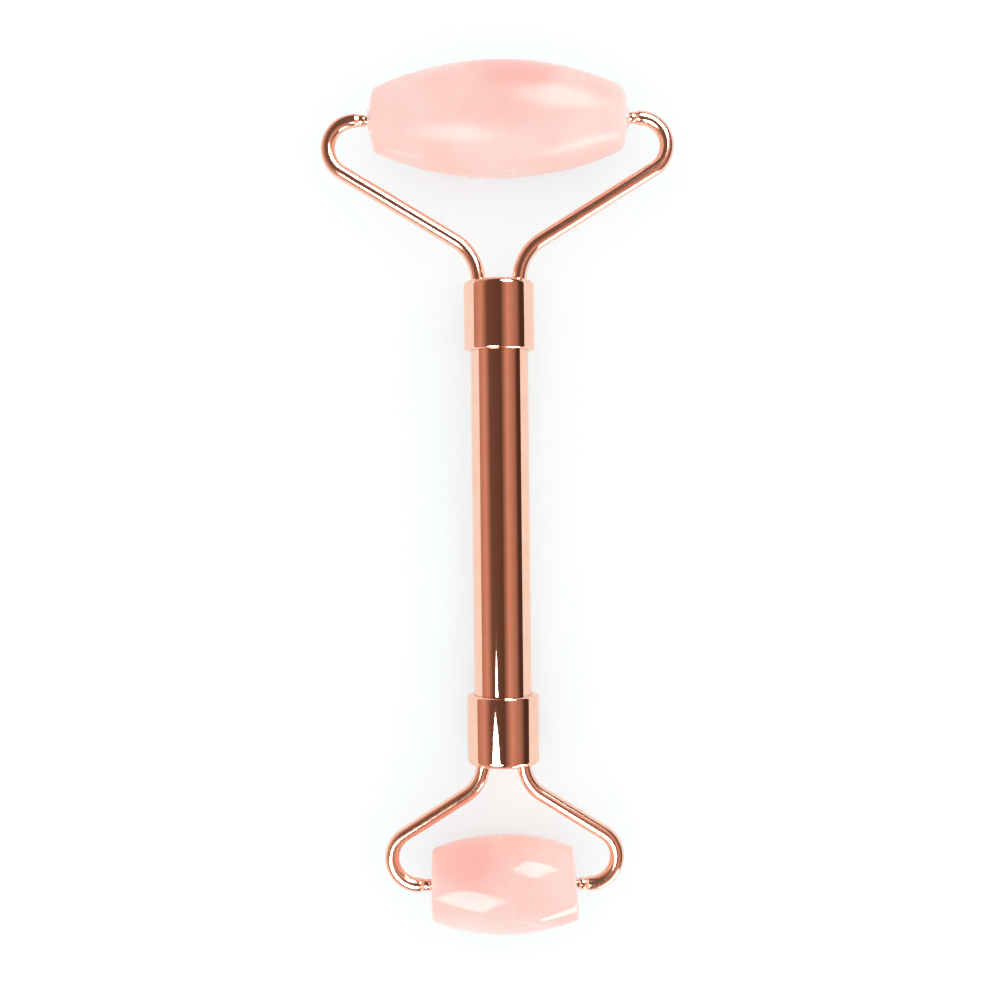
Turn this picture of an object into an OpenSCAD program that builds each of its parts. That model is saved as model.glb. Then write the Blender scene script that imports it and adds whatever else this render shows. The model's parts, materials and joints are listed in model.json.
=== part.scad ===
// Two-headed facial roller: a large and a small polished stone barrel, each spinning
// between the sprung wire arms of a fork, with both forks set in one slim metal handle.
//
// Frame: millimetres. The roller lies on its two stones on a flat surface at z = 0.
// +Y runs along the handle towards the large head, and +X runs along both axles.
// The origin is under the middle of the whole roller.

/* [Overall] */
// Distance between the axle of the large stone and the axle of the small stone
axle_distance = 127.3; // [115:0.1:140]

/* [Handle] */
// Outer diameter of the handle tube
tube_d = 9.6; // [9.2:0.1:9.8]
// Wall thickness of the handle tube
tube_wall = 0.9; // [0.6:0.1:1.2]
// Outer diameter of the collar at the large head
large_collar_d = 11.7; // [11.4:0.1:13]
// Outer diameter of the collar at the small head
small_collar_d = 12.0; // [11.4:0.1:13]
// Length of each collar
collar_len = 11.6; // [10:0.1:14]
// Thickness of the closed end of each collar
collar_end_wall = 1.2; // [0.8:0.1:1.6]
// Rounding of a collar's fork end
collar_fork_round = 0.9; // [0.4:0.1:1.0]
// Rounding of a collar's tube end
collar_tube_round = 0.4; // [0.2:0.1:0.5]

/* [Wire forks] */
// Diameter of the fork wire
wire_d = 2.4; // [2:0.1:2.4]
// Distance of each wire leg from the handle's axis
leg_offset = 3.42; // [3.3:0.01:3.5]
// Diameter of the axle pin turned on the end of each wire
pin_d = 1.5; // [1.3:0.1:1.5]
// Length of the axle pin, from its shoulder to its tip
pin_len = 8.0; // [7:0.1:9]
// Outer diameter of the spacer sleeves
spacer_d = 2.0; // [1.9:0.1:2.2]

/* [Large head] */
// Diameter of the large stone at its middle
large_d = 19.3; // [18:0.1:21]
// Length of the large stone
large_len = 43.2; // [41:0.1:44]
// Length of the straight belt round the middle of the large stone
large_belt = 3.0; // [2:0.1:4]
// Radius of the barrel curve along the large stone
large_crown = 50; // [45:0.5:60]
// Radius of the domed ends of the large stone
large_dome = 16; // [15:0.5:30]
// Rounding between the barrel curve and the ends of the large stone
large_corner = 1.2; // [0.5:0.1:1.5]
// Distance from the axle of the large stone to its collar
large_reach = 26.8; // [25:0.1:30]
// Bend radius of the large fork's wires where they leave the collar
large_bend = 8.0; // [6:0.1:9]
// Radius of the hooks that turn the large fork's wires in to the axle
large_hook = 4.6; // [4:0.1:5.2]
// How far the large stone has slid along its axle
large_slide = 0.2; // [-0.2:0.05:0.2]

/* [Small head] */
// Diameter of the small stone at its middle
small_d = 16.5; // [15:0.1:17]
// Length of the small stone
small_len = 24.2; // [23:0.1:25]
// Length of the straight belt round the middle of the small stone
small_belt = 2.6; // [2:0.1:3]
// Radius of the barrel curve along the small stone
small_crown = 32; // [28:0.5:40]
// Radius of the domed ends of the small stone
small_dome = 90; // [60:5:120]
// Rounding between the barrel curve and the ends of the small stone
small_corner = 0.7; // [0.4:0.1:1.2]
// Distance from the axle of the small stone to its collar
small_reach = 20.2; // [19:0.1:21]
// Bend radius of the small fork's wires where they leave the collar
small_bend = 6.2; // [5:0.1:6.6]
// Radius of the hooks that turn the small fork's wires in to the axle
small_hook = 4.6; // [4.2:0.1:4.8]
// How far the small stone has slid along its axle
small_slide = -0.1; // [-0.2:0.05:0.2]

/* [Hidden] */
$fn = 72;

rose_gold = [0.86, 0.52, 0.40];
rose_quartz = [0.99, 0.80, 0.76];
bare_brass = [0.80, 0.66, 0.36];
nylon_white = [0.95, 0.94, 0.91];

// Glued and pushed-in pieces are this much smaller in radius than the holes they sit in.
slip = 0.05;
// Radial gap between an axle pin and the bush that turns on it.
running_gap = 0.05;
// Overlap that lets two shapes cross cleanly where they would otherwise only touch.
hair = 0.02;
// How far a cutting shape reaches past what it cuts.
past = 1;
// Sides of the very large circles that shape the stones.
fine = 360;

// Collars, plugs and the tube, all measured from the fork end of a collar.
collar_bore_r = tube_d / 2 + slip;
plug_head_len = 5.0;
plug_spigot_len = 8.0;
plug_spigot_r = tube_d / 2 - tube_wall - slip;
plug_lead = 0.4;
tube_inset = collar_end_wall + slip + plug_head_len;
wire_r = wire_d / 2;
wire_hole_r = wire_r + slip;
// How far a wire leg stops short of the back of the plug's head.
leg_stop = 0.4;
leg_depth = collar_end_wall + plug_head_len - leg_stop;

// The axle: wire, cone, shoulder, spacer, then the pin inside the stone's bush.
pin_r = pin_d / 2;
pin_lead = 0.2;
end_play = 0.25;
spacer_len = 1.1;
large_shoulder = large_len / 2 + end_play + spacer_len;
small_shoulder = small_len / 2 + end_play + spacer_len;
large_cone = 0.6;
small_cone = 0.7;

// The lining of each stone.
bush_r = 1.45;
bush_len = 6.0;
bush_flange_r = 1.7;
bush_flange = 0.5;
liner_wall = 0.3;
liner_inner_r = bush_r + slip;
liner_r = liner_inner_r + liner_wall;
stone_bore_r = liner_r + slip;

// Where the two axles and the two collar ends are along the handle's own axis.
large_axle = axle_distance / 2;
small_axle = -axle_distance / 2;
large_end = large_axle - large_reach;
small_end = small_axle + small_reach;

// The larger stone lifts its end of the handle, so the handle's axis slopes a little.
lie_angle = asin((large_d - small_d) / 2 / axle_distance);
lie_centre = [0, (small_d - large_d) / 4, (large_d + small_d) / 4];

// ---- Placing -------------------------------------------------------------------------

// Lays the handle, drawn flat along +Y, on its two stones.
module lying() {
    translate(lie_centre)
        rotate([lie_angle, 0, 0])
            children();
}

// Draws a large-fork piece: its own y = 0 is the collar's fork end, +Y runs to the axle.
module at_large_fork() {
    lying()
        translate([0, large_end, 0])
            children();
}

// The same for the small fork, which points the other way.
module at_small_fork() {
    lying()
        translate([0, small_end, 0])
            mirror([0, 1, 0])
                children();
}

module at_large_axle() {
    lying()
        translate([0, large_axle, 0])
            children();
}

module at_small_axle() {
    lying()
        translate([0, small_axle, 0])
            children();
}

// Spins a profile drawn as [radius, height] about the handle's axis, heights along +Y.
module turned_on_handle() {
    rotate([-90, 0, 0])
        rotate_extrude()
            children();
}

// Spins a profile drawn as [radius, height] about the axle, heights along +X.
module turned_on_axle() {
    rotate([0, 90, 0])
        rotate_extrude()
            children();
}

module left_side() {
    mirror([1, 0, 0])
        children();
}

// ---- Profiles ------------------------------------------------------------------------

// Half section of a round bar from height 0 to len, with both rims rounded.
module rounded_bar(r, len, low_round, high_round) {
    square([r - low_round, len / 2]);
    translate([0, low_round])
        square([r, len - low_round - high_round]);
    translate([0, len / 2])
        square([r - high_round, len / 2]);
    translate([r - low_round, low_round])
        circle(low_round);
    translate([r - high_round, len - high_round])
        circle(high_round);
}

// Half section of a sleeve between two heights.
module sleeve(inner_r, outer_r, low, high) {
    translate([inner_r, low])
        square([outer_r - inner_r, high - low]);
}

// Where two circles centred at a and b cross, on the left of the way from a to b.
function crossing(a, ra, b, rb) =
    let (
        d = norm(b - a),
        along = (d * d + ra * ra - rb * rb) / (2 * d),
        across = sqrt(ra * ra - along * along),
        u = (b - a) / d
    )
    a + along * u + across * [-u[1], u[0]];

// Half section of a solid barrel: a straight belt round its middle, which lets it lie
// steady, then crowned sides, rounded corners and domed ends.
module barrel(mid_r, len, belt, crown, dome, corner) {
    side_centre = [mid_r - sqrt(crown ^ 2 - (belt / 2) ^ 2), 0];
    end_centre = [0, len / 2 - dome];
    corner_centre = crossing(side_centre, crown - corner, end_centre, dome - corner);
    to_side = (corner_centre - side_centre) / norm(corner_centre - side_centre);
    to_end = (corner_centre - end_centre) / norm(corner_centre - end_centre);
    beyond = 4 * corner;
    difference() {
        intersection() {
            translate(side_centre)
                circle(crown, $fn = fine);
            translate([0, -len])
                square([mid_r, 2 * len]);
        }
        for (end = [0, 1])
            mirror([0, end]) {
                // Beyond the dome.
                difference() {
                    translate([0, max(0, end_centre[1])])
                        square([mid_r + past, len]);
                    translate(end_centre)
                        circle(dome, $fn = fine);
                }
                // Beyond the rounded corner.
                difference() {
                    polygon([
                        corner_centre,
                        corner_centre + beyond * to_side,
                        corner_centre + beyond * to_end,
                    ]);
                    translate(corner_centre)
                        circle(corner + hair);
                }
            }
    }
}

// ---- Handle pieces -------------------------------------------------------------------

// A cup over the end of the tube, with two holes in its closed end for the wires.
module collar(outer_d) {
    difference() {
        turned_on_handle()
            difference() {
                rounded_bar(outer_d / 2, collar_len, collar_fork_round, collar_tube_round);
                translate([0, collar_end_wall])
                    square([collar_bore_r, collar_len]);
            }
        for (side = [-1, 1])
            translate([side * leg_offset, -past, 0])
                rotate([-90, 0, 0])
                    cylinder(h = collar_end_wall + 2 * past, r = wire_hole_r);
    }
}

// A stepped plug: its head grips the wire legs in two side channels inside the collar,
// and its spigot fills the end of the tube.
module end_plug() {
    head_start = collar_end_wall + slip;
    head_end = head_start + plug_head_len;
    tip = head_end + plug_spigot_len;
    difference() {
        turned_on_handle()
            polygon([
                [0, head_start],
                [tube_d / 2, head_start],
                [tube_d / 2, head_end],
                [plug_spigot_r, head_end],
                [plug_spigot_r, tip - plug_lead],
                [plug_spigot_r - plug_lead, tip],
                [0, tip],
            ]);
        for (side = [-1, 1])
            translate([side * leg_offset, 0, 0]) {
                rotate([-90, 0, 0])
                    cylinder(h = leg_depth + slip, r = wire_hole_r);
                translate([side * tube_d / 2, (leg_depth + slip) / 2, 0])
                    cube([tube_d, leg_depth + slip, 2 * wire_hole_r], center = true);
            }
    }
}

// The collars and plugs are drawn from the fork end inwards, which is -Y in a fork's frame.
module inwards() {
    mirror([0, 1, 0])
        children();
}

// The right-hand wire of a fork. It leaves the collar parallel to the handle, bends out,
// runs straight, hooks round to the axle and ends in a shouldered pin.
module arm(reach, bend, hook, shoulder, cone) {
    hook_x = shoulder + cone;
    bend_centre = [leg_offset + bend, 0];
    hook_centre = [hook_x, reach - hook];
    span = hook_centre - bend_centre;
    // Slope of the straight stretch, which touches both bends from opposite sides.
    slope = atan2(span[1], span[0]) - asin((bend + hook) / norm(span));
    straight = sqrt(norm(span) ^ 2 - (bend + hook) ^ 2);
    bend_exit = bend_centre + bend * [-sin(slope), cos(slope)];

    translate([leg_offset, -leg_depth, 0])
        rotate([-90, 0, 0])
            cylinder(h = leg_depth - hair, r = wire_r);
    wire_joint([leg_offset, 0], 90);
    wire_bend(bend_centre, bend, slope + 90, 180);
    wire_joint(bend_exit, slope);
    translate([bend_exit[0], bend_exit[1], 0])
        rotate([0, 90, slope])
            translate([0, 0, hair])
                cylinder(h = straight - 2 * hair, r = wire_r);
    wire_joint(bend_exit + straight * [cos(slope), sin(slope)], slope);
    wire_bend(hook_centre, hook, slope - 90, 90);
    wire_joint([hook_x, reach], 0);
    translate([hook_x, reach, 0])
        rotate([0, -90, 0]) {
            translate([0, 0, hair])
                cylinder(h = cone - hair, r1 = wire_r, r2 = spacer_d / 2);
            translate([0, 0, cone])
                cylinder(h = pin_len - pin_lead, r = pin_r);
            translate([0, 0, cone + pin_len - pin_lead])
                cylinder(h = pin_lead, r1 = pin_r, r2 = pin_r - pin_lead);
        }
}

// A stretch of wire bent round a centre in the fork's plane, between two angles.
module wire_bend(centre, radius, from, to) {
    translate([centre[0], centre[1], 0])
        rotate([0, 0, from])
            rotate_extrude(angle = to - from)
                translate([radius, 0])
                    circle(wire_r);
}

// A band, a hair proud of the wire, that closes the joint between two stretches.
module wire_joint(place, heading) {
    translate([place[0], place[1], 0])
        rotate([0, 90, heading])
            translate([0, 0, -2 * hair])
                cylinder(h = 4 * hair, r = wire_r + hair / 2);
}

// A loose sleeve on the right-hand pin, between its shoulder and the stone.
module spacer(shoulder) {
    turned_on_axle()
        sleeve(pin_r + running_gap, spacer_d / 2, shoulder - spacer_len, shoulder);
}

// ---- Roller pieces -------------------------------------------------------------------

// A barrel drilled through along its axle.
module stone(mid_d, len, belt, crown, dome, corner) {
    difference() {
        turned_on_axle()
            barrel(mid_d / 2, len, belt, crown, dome, corner);
        rotate([0, 90, 0])
            cylinder(h = 2 * len, r = stone_bore_r, center = true);
    }
}

// A thin tube cemented into the stone from end to end, set back for the bush flanges.
module liner(len) {
    turned_on_axle()
        sleeve(liner_inner_r, liner_r, bush_flange - len / 2, len / 2 - bush_flange);
}

// The right-hand bush: a sleeve in the liner with a flange flush with the stone's end.
module bush(len) {
    turned_on_axle() {
        sleeve(pin_r + running_gap, bush_r, len / 2 - bush_len, len / 2 - bush_flange);
        sleeve(pin_r + running_gap, bush_flange_r, len / 2 - bush_flange, len / 2);
    }
}

// ---- Nodes ---------------------------------------------------------------------------

module handle_tube() {
    color(rose_gold)
        lying()
            turned_on_handle()
                sleeve(
                    tube_d / 2 - tube_wall, tube_d / 2,
                    small_end + tube_inset, large_end - tube_inset
                );
}

module large_collar() {
    color(rose_gold)
        at_large_fork()
            inwards()
                collar(large_collar_d);
}

module small_collar() {
    color(rose_gold)
        at_small_fork()
            inwards()
                collar(small_collar_d);
}

module large_end_plug() {
    color(bare_brass)
        at_large_fork()
            inwards()
                end_plug();
}

module small_end_plug() {
    color(bare_brass)
        at_small_fork()
            inwards()
                end_plug();
}

module large_arm_right() {
    color(rose_gold)
        at_large_fork()
            arm(large_reach, large_bend, large_hook, large_shoulder, large_cone);
}

module large_arm_left() {
    color(rose_gold)
        at_large_fork()
            left_side()
                arm(large_reach, large_bend, large_hook, large_shoulder, large_cone);
}

module small_arm_right() {
    color(rose_gold)
        at_small_fork()
            arm(small_reach, small_bend, small_hook, small_shoulder, small_cone);
}

module small_arm_left() {
    color(rose_gold)
        at_small_fork()
            left_side()
                arm(small_reach, small_bend, small_hook, small_shoulder, small_cone);
}

module large_spacer_right() {
    color(rose_gold)
        at_large_axle()
            spacer(large_shoulder);
}

module large_spacer_left() {
    color(rose_gold)
        at_large_axle()
            left_side()
                spacer(large_shoulder);
}

module small_spacer_right() {
    color(rose_gold)
        at_small_axle()
            spacer(small_shoulder);
}

module small_spacer_left() {
    color(rose_gold)
        at_small_axle()
            left_side()
                spacer(small_shoulder);
}

// Everything that spins with the large stone has slid along the axle with it.
module on_large_stone() {
    at_large_axle()
        translate([large_slide, 0, 0])
            children();
}

module on_small_stone() {
    at_small_axle()
        translate([small_slide, 0, 0])
            children();
}

module large_stone() {
    color(rose_quartz)
        on_large_stone()
            stone(large_d, large_len, large_belt, large_crown, large_dome, large_corner);
}

module small_stone() {
    color(rose_quartz)
        on_small_stone()
            stone(small_d, small_len, small_belt, small_crown, small_dome, small_corner);
}

module large_liner() {
    color(bare_brass)
        on_large_stone()
            liner(large_len);
}

module small_liner() {
    color(bare_brass)
        on_small_stone()
            liner(small_len);
}

module large_bush_right() {
    color(nylon_white)
        on_large_stone()
            bush(large_len);
}

module large_bush_left() {
    color(nylon_white)
        on_large_stone()
            left_side()
                bush(large_len);
}

module small_bush_right() {
    color(nylon_white)
        on_small_stone()
            bush(small_len);
}

module small_bush_left() {
    color(nylon_white)
        on_small_stone()
            left_side()
                bush(small_len);
}

handle_tube();
large_collar();
small_collar();
large_end_plug();
small_end_plug();
large_arm_left();
large_arm_right();
small_arm_left();
small_arm_right();
large_spacer_left();
large_spacer_right();
small_spacer_left();
small_spacer_right();
large_stone();
large_liner();
large_bush_left();
large_bush_right();
small_stone();
small_liner();
small_bush_left();
small_bush_right();
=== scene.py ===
"""The looks of a two-headed rose quartz face roller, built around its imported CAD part.

The metal pieces and the two stones are drawn in the handle's own frame, in millimetres:
+Y runs along the handle towards the large head, +X runs along both axles, and the origin
is half way between the axles. HANDLE turns that into the row frame, in metres.
"""

import json
import math

import bmesh
import bpy
from mathutils import Matrix, Vector, noise


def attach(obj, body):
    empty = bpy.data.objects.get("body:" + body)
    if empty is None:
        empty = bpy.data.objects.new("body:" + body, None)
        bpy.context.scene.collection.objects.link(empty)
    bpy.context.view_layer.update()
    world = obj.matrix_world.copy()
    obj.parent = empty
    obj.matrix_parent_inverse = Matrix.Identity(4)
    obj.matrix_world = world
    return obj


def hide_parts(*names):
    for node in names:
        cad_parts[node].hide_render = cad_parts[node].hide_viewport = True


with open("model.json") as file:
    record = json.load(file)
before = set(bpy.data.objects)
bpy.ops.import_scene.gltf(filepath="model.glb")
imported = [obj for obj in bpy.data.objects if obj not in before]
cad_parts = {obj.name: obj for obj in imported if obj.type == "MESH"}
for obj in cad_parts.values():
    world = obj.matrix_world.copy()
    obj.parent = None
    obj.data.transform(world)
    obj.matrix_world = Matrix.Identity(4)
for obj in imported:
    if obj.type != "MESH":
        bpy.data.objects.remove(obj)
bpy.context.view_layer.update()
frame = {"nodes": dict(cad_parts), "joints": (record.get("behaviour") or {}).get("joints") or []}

MM = 0.001
ROUND = 64          # sides of a turned piece
WIRE_SIDES = 40     # sides of the fork wire
SHARP_ANGLE = math.radians(32)

# The fork wires and their spacer sleeves.
WIRE_R = 1.2
PIN_R = 0.75
PIN_LEAD = 0.2
SPACER_R = 1.0
SPACER_RIM = 0.12
# How the wire narrows to its shoulder: share of the cone's length, and radius.
CONE = [(0.15, WIRE_R - 0.01), (0.3, WIRE_R - 0.05), (0.9, SPACER_R + 0.02), (1.0, SPACER_R)]

# The two heads. Bend and cone shape the wires, belt and crown the stones' sides, and each
# stone end is (dome, corner, skew). Polish is (least roughness, most roughness, specular).
LARGE = {
    "name": "large",
    "facing": 1,
    "bend": 8.0,
    "cone": 0.6,
    "belt": 3.0,
    "crown": 50.0,
    "left_end": (16.0, 0.8, 0.0),
    "right_end": (16.0, 2.0, 0.0),
    "polish": (0.22, 0.3, 0.13),
}
SMALL = {
    "name": "small",
    "facing": -1,
    "bend": 6.2,
    "cone": 0.7,
    "belt": 2.6,
    "crown": 32.0,
    "left_end": (90.0, 0.5, 0.0),
    "right_end": (90.0, 0.7, 0.08),
    "polish": (0.07, 0.12, 0.18),
}
STONE_BORE_R = 1.85
BORE_BLEND_R = 4.5  # beyond this radius a stone's end face is free to be uneven
STONE_WAVER = 0.06  # how far hand polishing wanders inwards from the true barrel

# Collars.
COLLAR_FORK_ROUND = 0.9
COLLAR_TUBE_ROUND = 0.4
COLLAR_END_WALL = 1.2
WIRE_HOLE_R = 1.25
TUBE_WALL = 0.9


# ---- Places from the CAD part ----------------------------------------------------------

def handle_matrix():
    """Handle frame in millimetres to row frame in metres."""
    pivots = {joint["name"]: Vector(joint["pos_m"]) for joint in frame["joints"]}
    large, small = pivots["large_spin"], pivots["small_spin"]
    across = Vector((1, 0, 0))
    along = (large - small).normalized()
    turn = Matrix((across, along, across.cross(along))).transposed().to_4x4()
    return Matrix.Translation((large + small) / 2) @ turn @ Matrix.Scale(MM, 4)


HANDLE = handle_matrix()
PIVOTS = [Vector(joint["pos_m"]) for joint in frame["joints"]]
AXLE_Y = (PIVOTS[0] - PIVOTS[1]).length / MM / 2


def extents(node):
    """Lowest and highest corner of a CAD node in the handle frame."""
    to_handle = HANDLE.inverted()
    points = [to_handle @ vertex.co for vertex in frame["nodes"][node].data.vertices]
    low = Vector([min(point[i] for point in points) for i in range(3)])
    high = Vector([max(point[i] for point in points) for i in range(3)])
    return low, high


def fork_frame(head):
    """Fork frame to handle frame: y = 0 is the collar's fork end and +Y runs to the axle."""
    low, high = extents(head["name"] + "_collar")
    end = high.y if head["facing"] > 0 else low.y
    turn = 0 if head["facing"] > 0 else math.pi
    return Matrix.Translation((0, end, 0)) @ Matrix.Rotation(turn, 4, "Z")


# ---- Mesh tools ------------------------------------------------------------------------

def piece(bm, name, local, material, body, node):
    """Turns a bmesh drawn in a local frame into a piece that stands for a CAD node."""
    bmesh.ops.remove_doubles(bm, verts=bm.verts, dist=1e-5)
    bmesh.ops.recalc_face_normals(bm, faces=bm.faces)
    bm.transform(HANDLE @ local)
    mesh = bpy.data.meshes.new(name)
    bm.to_mesh(mesh)
    bm.free()
    for face in mesh.polygons:
        face.use_smooth = True
    mesh.set_sharp_from_angle(angle=SHARP_ANGLE)
    mesh.materials.append(material)
    made = bpy.data.objects.new(name, mesh)
    bpy.context.scene.collection.objects.link(made)
    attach(made, body)
    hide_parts(node)
    return made


def arc(centre, radius, start, stop, steps):
    """Points on a circle between two angles in degrees."""
    points = []
    for i in range(steps + 1):
        angle = math.radians(start + (stop - start) * i / steps)
        points.append(Vector(centre) + radius * Vector((math.cos(angle), math.sin(angle))))
    return points


def bridge(bm, first, second):
    """Faces between two rings of the same number of vertices."""
    count = len(first)
    for i in range(count):
        j = (i + 1) % count
        bm.faces.new((first[i], first[j], second[j], second[i]))


def turn_profile(bm, profile, axis, sides=ROUND, closed=True):
    """Spins a profile of (along, radius) points about +X or +Y and returns its rings."""
    rings = []
    for along, radius in profile:
        ring = []
        for i in range(sides):
            angle = 2 * math.pi * i / sides
            u, v = radius * math.cos(angle), radius * math.sin(angle)
            ring.append(bm.verts.new((along, u, v) if axis == "X" else (u, along, v)))
        rings.append(ring)
    for first, second in zip(rings, rings[1:]):
        bridge(bm, first, second)
    if closed:
        bridge(bm, rings[-1], rings[0])
    return rings


def ring_edges(ring):
    edges = []
    for i, vertex in enumerate(ring):
        following = ring[(i + 1) % len(ring)]
        edges.append(next(e for e in vertex.link_edges if e.other_vert(vertex) is following))
    return edges


# ---- Handle ----------------------------------------------------------------------------

def handle_tube():
    low, high = extents("handle_tube")
    outer = high.x
    inner = outer - TUBE_WALL
    lead = 0.1
    profile = [
        (low.y, inner), (low.y, outer - lead), (low.y + lead, outer),
        (high.y - lead, outer), (high.y, outer - lead), (high.y, inner),
    ]
    bm = bmesh.new()
    turn_profile(bm, profile, "Y", sides=96)
    piece(bm, "tube", Matrix(), ROSE_GOLD, "handle", "handle_tube")


def collar(head):
    """A cup with a flat, rounded fork end that the two wires come out of."""
    node = head["name"] + "_collar"
    low, high = extents(node)
    outer = high.x
    length = high.y - low.y
    bore = extents("handle_tube")[1].x + 0.05
    front = arc((-COLLAR_FORK_ROUND, outer - COLLAR_FORK_ROUND), COLLAR_FORK_ROUND, 0, 90, 14)
    back_centre = (COLLAR_TUBE_ROUND - length, outer - COLLAR_TUBE_ROUND)
    back = arc(back_centre, COLLAR_TUBE_ROUND, 90, 180, 8)
    profile = front + back + [Vector((-length, bore)), Vector((-COLLAR_END_WALL, bore))]
    bm = bmesh.new()
    rings = turn_profile(bm, profile, "Y", sides=96, closed=False)
    fork_face = ring_edges(rings[0])
    inner_face = ring_edges(rings[-1])
    leg = leg_offset(head)
    for side in (-1, 1):
        walls = []
        for along in (0.0, -COLLAR_END_WALL):
            ring = []
            for i in range(WIRE_SIDES):
                angle = 2 * math.pi * i / WIRE_SIDES
                x = side * leg + WIRE_HOLE_R * math.cos(angle)
                ring.append(bm.verts.new((x, along, WIRE_HOLE_R * math.sin(angle))))
            walls.append(ring)
        bridge(bm, walls[0], walls[1])
        fork_face += ring_edges(walls[0])
        inner_face += ring_edges(walls[1])
    for edges in (fork_face, inner_face):
        bmesh.ops.triangle_fill(bm, use_beauty=True, use_dissolve=False, edges=edges)
    piece(bm, head["name"] + "_ring", fork_frame(head), ROSE_GOLD, "handle", node)


# ---- Forks -----------------------------------------------------------------------------

def leg_offset(head):
    """Distance of a wire leg from the handle's axis."""
    low, _high = extents(head["name"] + "_arm_right")
    return low.x + WIRE_R


def arm_stations(head):
    """The right-hand wire as (point, heading in degrees, radius), in its fork frame."""
    low, high = extents(head["name"] + "_arm_right")
    leg = leg_offset(head)
    shoulder = extents(head["name"] + "_spacer_right")[1].x
    hook_x = shoulder + head["cone"]
    hook = high.x - WIRE_R - hook_x
    end_y = abs(fork_frame(head).translation.y)
    reach = AXLE_Y - end_y
    depth = end_y - (low.y if head["facing"] > 0 else -high.y)
    pin_tip = shoulder - pin_length(head)
    bend = head["bend"]

    bend_centre = Vector((leg + bend, 0))
    hook_centre = Vector((hook_x, reach - hook))
    span = hook_centre - bend_centre
    slope = math.degrees(math.atan2(span.y, span.x) - math.asin((bend + hook) / span.length))

    stations = [(Vector((leg, -depth)), 90, WIRE_R)]
    steps = 16
    for i, point in enumerate(arc(bend_centre, bend, 180, slope + 90, steps)):
        stations.append((point, 90 + (slope - 90) * i / steps, WIRE_R))
    steps = 36
    for i, point in enumerate(arc(hook_centre, hook, slope - 90, 90, steps)):
        stations.append((point, slope + (180 - slope) * i / steps, WIRE_R))
    for share, radius in CONE:
        stations.append((Vector((hook_x - share * head["cone"], reach)), 180, radius))
    stations.append((Vector((shoulder, reach)), 180, PIN_R))
    stations.append((Vector((pin_tip + PIN_LEAD, reach)), 180, PIN_R))
    stations.append((Vector((pin_tip, reach)), 180, PIN_R - PIN_LEAD))
    return stations


def pin_length(head):
    """The pin shows its length inside the stone: it ends where the node's far end is."""
    node = frame["nodes"][head["name"] + "_arm_right"]
    to_handle = HANDLE.inverted()
    axle = AXLE_Y * head["facing"]
    on_axle = [to_handle @ v.co for v in node.data.vertices]
    tip = min(p.x for p in on_axle if abs(p.y - axle) < PIN_R + 0.1)
    return extents(head["name"] + "_spacer_right")[1].x - tip


def arm(head, side):
    """Sweeps the fork wire along its stations. side is 1 for the right hand."""
    bm = bmesh.new()
    rings = []
    for point, heading, radius in arm_stations(head):
        angle = math.radians(heading)
        normal = Vector((-math.sin(angle), math.cos(angle), 0))
        ring = []
        for i in range(WIRE_SIDES):
            turn = 2 * math.pi * i / WIRE_SIDES
            offset = radius * (math.cos(turn) * normal + math.sin(turn) * Vector((0, 0, 1)))
            ring.append(bm.verts.new(Vector((point.x, point.y, 0)) + offset))
        rings.append(ring)
    for first, second in zip(rings, rings[1:]):
        bridge(bm, first, second)
    bm.faces.new(rings[0])
    bm.faces.new(rings[-1])
    # The small fork's frame is turned half round, so its own right is the handle's left.
    if side != head["facing"]:
        bmesh.ops.scale(bm, vec=(-1, 1, 1), verts=bm.verts)
    hand = "right" if side > 0 else "left"
    node = f"{head['name']}_arm_{hand}"
    name = f"{head['name']}_wire_{hand}"
    piece(bm, name, fork_frame(head), ROSE_GOLD_WIRE, "handle", node)


def spacer(head, side):
    """A loose sleeve on the pin, with softened rims."""
    hand = "right" if side > 0 else "left"
    node = f"{head['name']}_spacer_{hand}"
    low, high = extents(node)
    inner, outer = PIN_R + 0.05, SPACER_R
    rim = SPACER_RIM
    start, stop = low.x, high.x
    profile = [
        (start, inner),
        (start, outer - rim),
        (start + rim / 3, outer - rim / 3),
        (start + rim, outer),
        (stop - rim, outer),
        (stop - rim / 3, outer - rim / 3),
        (stop, outer - rim),
        (stop, inner),
    ]
    bm = bmesh.new()
    turn_profile(bm, profile, "X", sides=WIRE_SIDES)
    place = Matrix.Translation((0, AXLE_Y * head["facing"], 0))
    piece(bm, f"{head['name']}_sleeve_{hand}", place, ROSE_GOLD_WIRE, "handle", node)


# ---- Stones ----------------------------------------------------------------------------

def crossing(a, radius_a, b, radius_b):
    """Where two circles cross, on the left of the way from a to b."""
    gap = b - a
    along = (gap.length_squared + radius_a ** 2 - radius_b ** 2) / (2 * gap.length)
    across = math.sqrt(radius_a ** 2 - along ** 2)
    u = gap.normalized()
    return a + along * u + across * Vector((-u.y, u.x))


def half_barrel(half_length, mid_r, belt, crown, dome, corner):
    """Half section of one end as (along, radius) points, from the bore to the middle."""
    side_centre = Vector((0, mid_r - math.sqrt(crown ** 2 - (belt / 2) ** 2)))
    end_centre = Vector((half_length - dome, 0))
    corner_centre = crossing(end_centre, dome - corner, side_centre, crown - corner)
    to_end = corner_centre - end_centre
    to_side = corner_centre - side_centre
    end_angle = math.degrees(math.atan2(to_end.y, to_end.x))
    side_angle = math.degrees(math.atan2(to_side.y, to_side.x))
    bore_angle = math.degrees(math.asin(STONE_BORE_R / dome))
    belt_angle = math.degrees(math.acos(belt / 2 / crown))
    points = arc(end_centre, dome, bore_angle, end_angle, 12)
    points += arc(corner_centre, corner, end_angle, side_angle, 12)[1:]
    points += arc(side_centre, crown, side_angle, belt_angle, 40)[1:]
    return points + [Vector((0, mid_r))]


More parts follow.
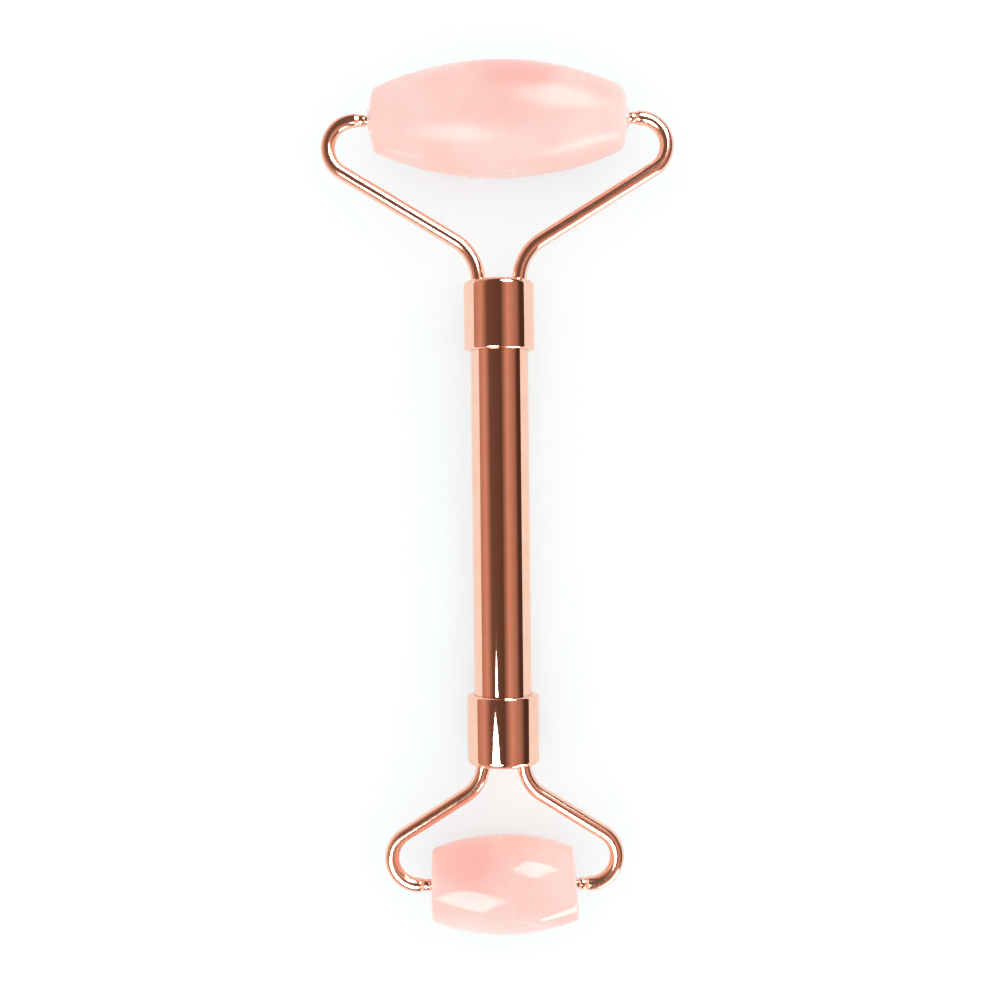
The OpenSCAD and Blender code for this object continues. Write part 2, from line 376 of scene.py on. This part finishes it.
def stone(head):
    """A barrel left slightly uneven by hand polishing."""
    node = head["name"] + "_stone"
    low, high = extents(node)
    middle = (low + high) / 2
    half = (high.x - low.x) / 2
    mid_r = high.z
    right_dome, right_corner, right_skew = head["right_end"]
    left_dome, left_corner, left_skew = head["left_end"]
    right = half_barrel(half, mid_r, head["belt"], head["crown"], right_dome, right_corner)
    left = half_barrel(half, mid_r, head["belt"], head["crown"], left_dome, left_corner)
    profile = [(-p.x, p.y) for p in left] + [(p.x, p.y) for p in reversed(right[:-1])]
    bm = bmesh.new()
    turn_profile(bm, profile, "X", sides=144)
    for vertex in bm.verts:
        x, y, z = vertex.co
        radius = math.hypot(y, z)
        outward = min(1, max(0, (radius - STONE_BORE_R) / (BORE_BLEND_R - STONE_BORE_R)))
        seed = Vector((x / 9, y / 7, z / 7 + head["facing"] * 5))
        waver = 0.5 + 0.5 * max(-1, min(1, 1.6 * noise.noise(seed)))
        shrink = 1 - outward * STONE_WAVER * waver / mid_r
        skew = right_skew if x > 0 else left_skew
        near_end = max(0, (abs(x) / half - 0.6) / 0.4) ** 2
        x -= skew * near_end * outward * y
        vertex.co = (x, y * shrink, z * shrink)
    place = Matrix.Translation((middle.x, AXLE_Y * head["facing"], 0))
    name = head["name"]
    piece(bm, name + "_quartz", place, STONES[name], name + "_roller", node)


# ---- Materials -------------------------------------------------------------------------

def new_material(name):
    material = bpy.data.materials.new(name)
    material.use_nodes = True
    tree = material.node_tree
    return material, tree, tree.nodes["Principled BSDF"]


def add(tree, kind, settings=None, **values):
    """Adds a shader node. settings are its own options, values its input sockets."""
    node = tree.nodes.new(kind)
    for key, value in (settings or {}).items():
        setattr(node, key, value)
    for key, value in values.items():
        socket = node.inputs[key.replace("_", " ")]
        if isinstance(value, bpy.types.NodeSocket):
            tree.links.new(value, socket)
        else:
            socket.default_value = value
    return node


def in_millimetres(tree, centre=(0, 0, 0), stretch=(1, 1, 1)):
    """Object coordinates in millimetres from a centre given in metres."""
    place = add(tree, "ShaderNodeTexCoord").outputs["Object"]
    scale = [s / MM for s in stretch]
    shift = [-c * s for c, s in zip(centre, scale)]
    return add(tree, "ShaderNodeMapping", Vector=place, Location=shift, Scale=scale).outputs["Vector"]


def math_node(tree, operation, first, second=0.0, third=0.0, clamp=False):
    node = tree.nodes.new("ShaderNodeMath")
    node.operation = operation
    node.use_clamp = clamp
    for i, value in enumerate((first, second, third)):
        if isinstance(value, bpy.types.NodeSocket):
            tree.links.new(value, node.inputs[i])
        else:
            node.inputs[i].default_value = value
    return node.outputs[0]


def remap(tree, value, low, high, to_low=0.0, to_high=1.0):
    node = add(tree, "ShaderNodeMapRange", {"interpolation_type": "SMOOTHSTEP"})
    tree.links.new(value, node.inputs["Value"])
    for key, number in (("From Min", low), ("From Max", high), ("To Min", to_low), ("To Max", to_high)):
        node.inputs[key].default_value = number
    return node.outputs["Result"]


def mix_colour(tree, factor, first, second):
    """first where factor is 0, second where it is 1."""
    node = tree.nodes.new("ShaderNodeMix")
    node.data_type = "RGBA"
    for value, socket in ((factor, node.inputs[0]), (first, node.inputs[6]), (second, node.inputs[7])):
        if isinstance(value, bpy.types.NodeSocket):
            tree.links.new(value, socket)
        else:
            socket.default_value = value
    return node.outputs[2]


def noise_field(tree, vector, scale, detail=3.0, rough=0.5):
    node = add(tree, "ShaderNodeTexNoise", Vector=vector, Scale=scale, Detail=detail, Roughness=rough)
    return node.outputs["Fac"]


PLATE = (0.95, 0.56, 0.41, 1)
PLATE_PALE = (0.965, 0.59, 0.45, 1)


def rose_gold(name, softness):
    """Polished electroplate: two close tints, faint handling marks and fine drawn scratches.
    softness is extra roughness, as on the drawn wire, which was never lapped."""
    material, tree, shader = new_material(name)
    place = in_millimetres(tree)
    cloud = noise_field(tree, place, 0.35, 4)
    tint = mix_colour(tree, remap(tree, cloud, 0.35, 0.65), PLATE, PLATE_PALE)
    tree.links.new(tint, shader.inputs["Base Color"])
    shader.inputs["Metallic"].default_value = 1.0
    scratches = noise_field(tree, in_millimetres(tree, stretch=(6, 0.35, 6)), 2.0, 2)
    smudge = noise_field(tree, place, 0.9, 5, 0.6)
    rough = math_node(tree, "ADD", remap(tree, smudge, 0.45, 0.8, softness + 0.035, softness + 0.075),
                      remap(tree, scratches, 0.62, 0.75, 0.0, 0.03))
    tree.links.new(rough, shader.inputs["Roughness"])
    peel = noise_field(tree, place, 0.7, 2)
    height = math_node(tree, "MULTIPLY_ADD", scratches, 0.06, peel)
    bump = add(tree, "ShaderNodeBump", Strength=0.15, Distance=0.00002, Height=height)
    tree.links.new(bump.outputs["Normal"], shader.inputs["Normal"])
    return material


def soft_spot(tree, place, centre, radius):
    """1 in the middle of a cloud, fading to 0 at its radius, both in millimetres."""
    node = tree.nodes.new("ShaderNodeVectorMath")
    node.operation = "DISTANCE"
    tree.links.new(place, node.inputs[0])
    node.inputs[1].default_value = centre
    return remap(tree, node.outputs["Value"], radius, 0.15 * radius)


def warped(tree, place, scale, amount):
    """Pushes a coordinate about by a noise field, so that clouds lose their round shape."""
    field = add(tree, "ShaderNodeTexNoise", Vector=place, Scale=scale, Detail=3.0).outputs["Color"]
    centred = tree.nodes.new("ShaderNodeVectorMath")
    centred.operation = "MULTIPLY_ADD"
    tree.links.new(field, centred.inputs[0])
    centred.inputs[1].default_value = (amount,) * 3
    tree.links.new(place, centred.inputs[2])
    shift = tree.nodes.new("ShaderNodeVectorMath")
    shift.operation = "SUBTRACT"
    tree.links.new(centred.outputs[0], shift.inputs[0])
    shift.inputs[1].default_value = (amount / 2,) * 3
    return shift.outputs[0]


QUARTZ = (0.99, 0.65, 0.59, 1)
QUARTZ_DEEP = (0.985, 0.49, 0.44, 1)
QUARTZ_PALE = (0.99, 0.75, 0.70, 1)
QUARTZ_VEIL = (0.99, 0.84, 0.80, 1)


def rose_quartz(head, deep, pale, flaw):
    """Cloudy rose quartz. deep and pale are clouds as (centre, radius, strength), in millimetres
    from the middle of the stone, and flaw is a point and a direction for a healed crack."""
    material, tree, shader = new_material(head["name"] + "_rose_quartz")
    centre = HANDLE @ Vector((0, AXLE_Y * head["facing"], 0))
    place = in_millimetres(tree, centre)
    cloudy = warped(tree, place, 0.16, 7.0)
    broad = noise_field(tree, cloudy, 0.09, 4, 0.55)
    colour = mix_colour(tree, remap(tree, broad, 0.42, 0.72, 0.0, 0.45), QUARTZ, QUARTZ_DEEP)
    colour = mix_colour(tree, remap(tree, broad, 0.50, 0.25, 0.0, 0.5), colour, QUARTZ_PALE)
    for clouds, cloud_colour in ((deep, QUARTZ_DEEP), (pale, QUARTZ_PALE)):
        for spot, radius, strength in clouds:
            share = math_node(tree, "MULTIPLY", soft_spot(tree, cloudy, spot, radius), strength)
            colour = mix_colour(tree, share, colour, cloud_colour)

    # A thin milky veil where a crack has healed.
    point, direction = flaw
    facing = tree.nodes.new("ShaderNodeVectorMath")
    facing.operation = "DOT_PRODUCT"
    tree.links.new(warped(tree, place, 0.3, 1.6), facing.inputs[0])
    facing.inputs[1].default_value = direction
    offset = sum(p * d for p, d in zip(point, direction))
    distance = math_node(tree, "ABSOLUTE", math_node(tree, "SUBTRACT", facing.outputs["Value"], offset))
    near_plane = remap(tree, distance, 0.5, 0.05)
    veil = math_node(tree, "MULTIPLY", near_plane, soft_spot(tree, place, point, 6.0))
    colour = mix_colour(tree, math_node(tree, "MULTIPLY", veil, 0.5), colour, QUARTZ_VEIL)

    # Fine grain.
    grain = noise_field(tree, place, 3.0, 4, 0.7)
    colour = mix_colour(tree, remap(tree, grain, 0.55, 0.8, 0.0, 0.16), colour, QUARTZ_PALE)
    tree.links.new(colour, shader.inputs["Base Color"])
    smooth, dull, shine = head["polish"]
    rough = remap(tree, noise_field(tree, place, 0.6, 5, 0.6), 0.4, 0.75, smooth, dull)
    tree.links.new(rough, shader.inputs["Roughness"])
    shader.inputs["IOR"].default_value = 1.54
    shader.inputs["Specular IOR Level"].default_value = shine
    shader.inputs["Subsurface Weight"].default_value = 0.6
    shader.inputs["Subsurface Radius"].default_value = (1.0, 0.55, 0.45)
    shader.inputs["Subsurface Scale"].default_value = 0.0025
    ripple = noise_field(tree, place, 0.5, 3)
    bump = add(tree, "ShaderNodeBump", Strength=0.12, Distance=0.00003, Height=ripple)
    tree.links.new(bump.outputs["Normal"], shader.inputs["Normal"])
    return material


BRASS_CLEAN = (0.80, 0.58, 0.24, 1)
BRASS_DULL = (0.52, 0.34, 0.14, 1)


def brass():
    """Turned brass with fine streaks and a little tarnish."""
    material, tree, shader = new_material("turned_brass")
    place = in_millimetres(tree)
    tarnish = noise_field(tree, place, 0.5, 5, 0.6)
    colour = mix_colour(tree, remap(tree, tarnish, 0.4, 0.75), BRASS_CLEAN, BRASS_DULL)
    tree.links.new(colour, shader.inputs["Base Color"])
    shader.inputs["Metallic"].default_value = 1.0
    streaks = noise_field(tree, in_millimetres(tree, stretch=(8, 8, 0.5)), 1.5, 2)
    tree.links.new(remap(tree, streaks, 0.3, 0.7, 0.22, 0.4), shader.inputs["Roughness"])
    bump = add(tree, "ShaderNodeBump", Strength=0.3, Distance=0.00003, Height=streaks)
    tree.links.new(bump.outputs["Normal"], shader.inputs["Normal"])
    return material


NYLON_PALE = (0.95, 0.87, 0.82, 1)
NYLON_DARK = (0.90, 0.80, 0.74, 1)


def nylon():
    """Moulded natural nylon: slightly mottled, with a fine satin texture."""
    material, tree, shader = new_material("moulded_nylon")
    place = in_millimetres(tree)
    mottle = noise_field(tree, place, 1.2, 4)
    colour = mix_colour(tree, remap(tree, mottle, 0.35, 0.7), NYLON_PALE, NYLON_DARK)
    tree.links.new(colour, shader.inputs["Base Color"])
    texture = noise_field(tree, place, 14.0, 3)
    tree.links.new(remap(tree, texture, 0.3, 0.7, 0.38, 0.52), shader.inputs["Roughness"])
    bump = add(tree, "ShaderNodeBump", Strength=0.25, Distance=0.00002, Height=texture)
    tree.links.new(bump.outputs["Normal"], shader.inputs["Normal"])
    return material


def repaint(node, material):
    """Gives a carried-over CAD node its finished material."""
    mesh = frame["nodes"][node].data
    mesh.materials.clear()
    mesh.materials.append(material)


# ---- Studio ----------------------------------------------------------------------------

# Corners of the three softboxes, in metres, and how bright they look in polished surfaces.
WINDOW = [
    (-0.35, -0.29, 0.35), (-0.21, -0.11, 0.35), (-0.155, -0.07, 0.35),
    (-0.10, -0.10, 0.35), (0.005, -0.21, 0.35), (-0.13, -0.55, 0.35),
]
KEY = [(0.035, 0.31, 0.37), (0.11, 0.38, 0.16), (0.195, 0.17, 0.17), (0.13, 0.115, 0.35)]
LOW = [(0.50, -0.47, 0.34), (0.62, -0.52, 0.01), (0.17, -0.67, 0.01), (0.18, -0.67, 0.085)]
SOFTBOX_GLOW = 15.0

CAMERA_HEIGHT = 0.2586
CAMERA_SHIFT = (-0.00015, 0.00046)
CAMERA_LENS = 54.0
CAMERA_TURN = -0.6

# The dim room that polished surfaces mirror: degrees from straight up towards +X, and how
# bright it is there. A pale wall, a dark ceiling, a soft strip light and a dark far side.
ROOM = [
    (-90, 0.50),
    (-62, 0.70),
    (-40, 0.17),
    (5, 0.12),
    (28, 0.70),
    (58, 0.40),
    (72, 0.08),
    (90, 0.08),
]
ROOM_TINT = (1.0, 0.56, 0.43)
ROOM_FOR_CAMERA = (0.93, 0.93, 0.93, 1)
ROOM_LIGHT = (1.0, 1.0, 1.0, 1)
ROOM_STRENGTH = 1.05

# The table's own colour and glow, the colour of the painted shadow that tints that glow
# within a given reach in metres of the roller, and how far the table reaches each way, in metres.
TABLE_WHITE = (0.60, 0.66, 0.68, 1)
TABLE_GLOW = 0.385
TABLE_PAINTED_SHADOW = (0.74, 0.92, 0.94, 1)
PAINTED_SHADOW_REACH = 0.02
TABLE_REACH = 3.0


def room():
    """Even soft light all round, except that polished surfaces mirror a dim, warm room."""
    world = bpy.data.worlds.new("studio_room")
    world.use_nodes = True
    tree = world.node_tree
    tree.nodes.clear()
    direction = add(tree, "ShaderNodeTexCoord").outputs["Generated"]
    parts = add(tree, "ShaderNodeSeparateXYZ", Vector=direction)
    angle = math_node(tree, "ARCTAN2", parts.outputs["X"], parts.outputs["Z"])
    share = math_node(tree, "MULTIPLY_ADD", angle, 1 / math.pi, 0.5, clamp=True)
    ramp = add(tree, "ShaderNodeValToRGB", Fac=share)
    stops = ramp.color_ramp.elements
    while len(stops) > 1:
        stops.remove(stops[-1])
    for i, (degrees, brightness) in enumerate(ROOM):
        place = (degrees + 90) / 180
        stop = stops[0] if i == 0 else stops.new(place)
        stop.position = place
        stop.color = (*(brightness * part for part in ROOM_TINT), 1)
    path = add(tree, "ShaderNodeLightPath")
    plain = add(tree, "ShaderNodeBackground", Color=ROOM_LIGHT, Strength=ROOM_STRENGTH)
    bands = add(tree, "ShaderNodeBackground", Color=ramp.outputs["Color"], Strength=1.0)
    seen = add(tree, "ShaderNodeBackground", Color=ROOM_FOR_CAMERA, Strength=1.0)
    glossy = tree.nodes.new("ShaderNodeMixShader")
    tree.links.new(path.outputs["Is Glossy Ray"], glossy.inputs[0])
    tree.links.new(plain.outputs[0], glossy.inputs[1])
    tree.links.new(bands.outputs[0], glossy.inputs[2])
    camera = tree.nodes.new("ShaderNodeMixShader")
    tree.links.new(path.outputs["Is Camera Ray"], camera.inputs[0])
    tree.links.new(glossy.outputs[0], camera.inputs[1])
    tree.links.new(seen.outputs[0], camera.inputs[2])
    output = tree.nodes.new("ShaderNodeOutputWorld")
    tree.links.new(camera.outputs[0], output.inputs["Surface"])
    bpy.context.scene.world = world


def glow(name, strength):
    """A plain white emitter."""
    material = bpy.data.materials.new(name)
    material.use_nodes = True
    tree = material.node_tree
    tree.nodes.clear()
    light = add(tree, "ShaderNodeEmission", Color=(1, 1, 1, 1), Strength=strength)
    output = tree.nodes.new("ShaderNodeOutputMaterial")
    tree.links.new(light.outputs[0], output.inputs["Surface"])
    return material


def softbox(name, corners, strength):
    """A flat softbox given by its corners in metres, seen only in polished surfaces."""
    mesh = bpy.data.meshes.new(name)
    mesh.from_pydata([Vector(corner) for corner in corners], [], [range(len(corners))])
    mesh.materials.append(glow(name, strength))
    panel = bpy.data.objects.new(name, mesh)
    bpy.context.scene.collection.objects.link(panel)
    panel.visible_camera = False
    panel.visible_diffuse = False
    panel.visible_shadow = False
    panel.visible_transmission = False


def floor():
    """A pale table with a faint glow, which is tinted cooler close to the roller as a painted shadow.
    """
    mesh = bpy.data.meshes.new("table")
    corners = [(x * TABLE_REACH, y * TABLE_REACH, 0) for x, y in ((-1, -1), (1, -1), (1, 1), (-1, 1))]
    mesh.from_pydata(corners, [], [(0, 1, 2, 3)])
    material, tree, shader = new_material("pale_table")
    shader.inputs["Base Color"].default_value = TABLE_WHITE
    shader.inputs["Roughness"].default_value = 1.0
    shader.inputs["Specular IOR Level"].default_value = 0.0
    # Painted shadow: close to the roller the table's glow turns from white to a cooler, dimmer tint.
    painted_shadow_nearness = add(tree, "ShaderNodeAmbientOcclusion", {"samples": 8}, Distance=PAINTED_SHADOW_REACH)
    glow_with_painted_shadow = mix_colour(tree, painted_shadow_nearness.outputs["AO"], TABLE_PAINTED_SHADOW, (1, 1, 1, 1))
    tree.links.new(glow_with_painted_shadow, shader.inputs["Emission Color"])
    shader.inputs["Emission Strength"].default_value = TABLE_GLOW
    mesh.materials.append(material)
    table = bpy.data.objects.new("table", mesh)
    bpy.context.scene.collection.objects.link(table)


def camera():
    """Straight down over the middle of the handle, turned very slightly."""
    data = bpy.data.cameras.new("camera")
    data.lens = CAMERA_LENS
    data.sensor_width = 36.0
    data.clip_start = 0.01
    seat = bpy.data.objects.new("camera", data)
    middle = HANDLE.translation
    seat.location = (middle.x + CAMERA_SHIFT[0], middle.y + CAMERA_SHIFT[1], CAMERA_HEIGHT)
    seat.rotation_euler = (0, 0, math.radians(CAMERA_TURN))
    bpy.context.scene.collection.objects.link(seat)
    bpy.context.scene.camera = seat


def studio():
    room()
    floor()
    softbox("window_softbox", WINDOW, SOFTBOX_GLOW)
    softbox("key_softbox", KEY, SOFTBOX_GLOW)
    softbox("low_softbox", LOW, SOFTBOX_GLOW)
    bpy.context.scene.view_settings.view_transform = "Standard"


# ---- Everything ------------------------------------------------------------------------

ROSE_GOLD = rose_gold("rose_gold_plate", 0.0)
ROSE_GOLD_WIRE = rose_gold("rose_gold_wire", 0.11)
STONES = {
    "large": rose_quartz(
        LARGE,
        deep=[
            ((0.5, 7.0, 6.0), 8.0, 0.9),
            ((5.5, 7.5, 5.5), 7.0, 0.8),
            ((-9, 5, 8), 6.0, 0.35),
            ((1, 0, 9), 7.0, 0.4),
        ],
        pale=[((22, 0, 3), 9.0, 0.9), ((2, -9, 5), 12.0, 0.6), ((14, -5, 6), 9.0, 0.6)],
        flaw=((-16.0, -6.5, 5.0), (0.15, 0.97, 0.15)),
    ),
    "small": rose_quartz(
        SMALL,
        deep=[((-6, 5.5, 6), 8.0, 0.9), ((-11, 1, 3), 6.0, 0.5)],
        pale=[((9, 2, 4), 8.0, 0.5), ((-5, -8, 3), 9.0, 0.9), ((4, -8, 3), 9.0, 0.7)],
        flaw=((4.0, -5.0, 6.0), (0.3, 0.9, 0.2)),
    ),
}

handle_tube()
for head in (LARGE, SMALL):
    collar(head)
    stone(head)
    for side in (-1, 1):
        arm(head, side)
        spacer(head, side)

BRASS = brass()
NYLON = nylon()
for head in (LARGE, SMALL):
    repaint(head["name"] + "_end_plug", BRASS)
    repaint(head["name"] + "_liner", BRASS)
    repaint(head["name"] + "_bush_left", NYLON)
    repaint(head["name"] + "_bush_right", NYLON)

camera()
studio()
